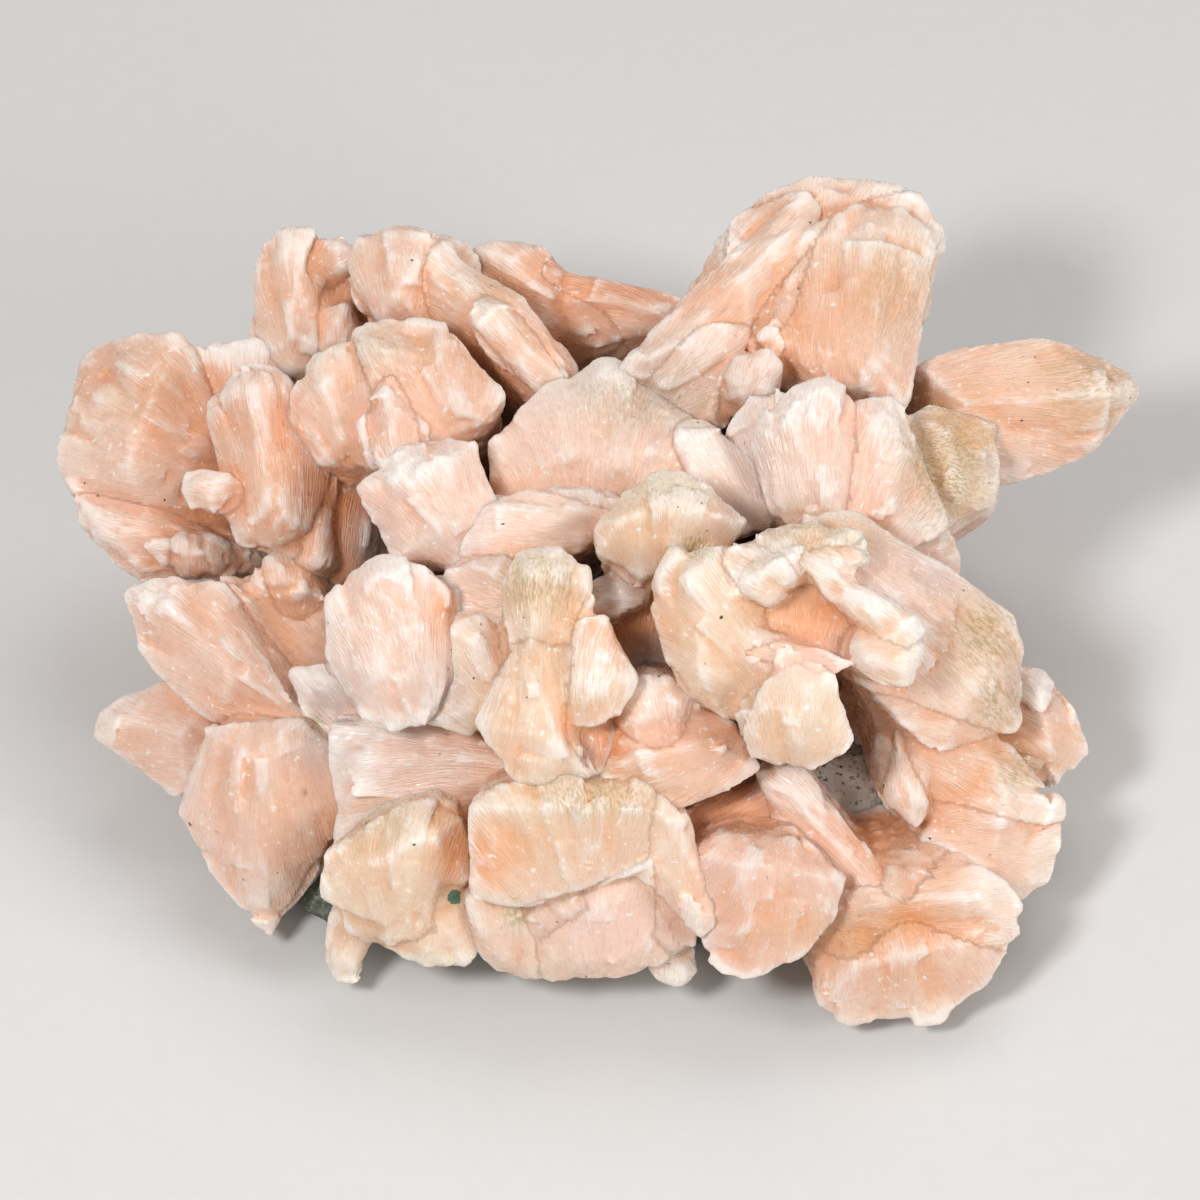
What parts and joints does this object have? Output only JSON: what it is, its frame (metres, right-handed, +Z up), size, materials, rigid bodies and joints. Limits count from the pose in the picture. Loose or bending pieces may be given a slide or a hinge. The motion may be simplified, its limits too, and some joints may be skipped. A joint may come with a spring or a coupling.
{
  "type": "stilbite cluster",
  "caption": "Mineral specimen: peach sheaf-shaped stilbite crystals grown together on a lump of green basalt, resting on the stone's flat underside.",
  "frame": {"origin": "centre of the bounding box at the height of the stone's flat underside", "axes": "+X to the right along the cluster's length, +Y away from the front, +Z up"},
  "size_m": [0.1618, 0.1178, 0.0687],
  "materials": {
    "basalt": "dull green basalt",
    "peach_stilbite": "pearly translucent crystal",
    "pale_peach_stilbite": "pearly translucent crystal",
    "cream_stilbite": "pearly translucent crystal",
    "deep_peach_stilbite": "pearly translucent crystal"
  },
  "bodies": {
    "root": {"matrix": "basalt", "low_left_sheaf": "deep_peach_stilbite", "bottom_right_sheaf": "peach_stilbite", "white_tuft": "pale_peach_stilbite", "back_middle_sheaf": "deep_peach_stilbite", "olive_sheaf": "cream_stilbite", "bright_sheaf": "pale_peach_stilbite", "back_blade": "deep_peach_stilbite", "small_beam": "peach_stilbite", "back_left_sheaves": "deep_peach_stilbite", "right_ridge_sheaves": "peach_stilbite", "back_right_sheaves": "deep_peach_stilbite", "peak_sheaf": "pale_peach_stilbite", "faceted_sheaf": "peach_stilbite", "rough_knob": "cream_stilbite", "white_fan": "pale_peach_stilbite", "low_right_sheaf": "deep_peach_stilbite", "lower_left_sheaves": "peach_stilbite", "tall_left_sheaf": "deep_peach_stilbite", "right_point_sheaf": "peach_stilbite", "front_block": "cream_stilbite", "front_right_sheaf": "peach_stilbite", "hollow_block": "peach_stilbite", "upper_left_sheaves": "peach_stilbite", "side_beam": "pale_peach_stilbite", "bowtie_sheaf": "cream_stilbite", "crown_sheaf": "peach_stilbite", "left_sheaves": "deep_peach_stilbite", "flower_sheaf": "cream_stilbite", "front_left_sheaf": "cream_stilbite"}
  },
  "joints": []
}
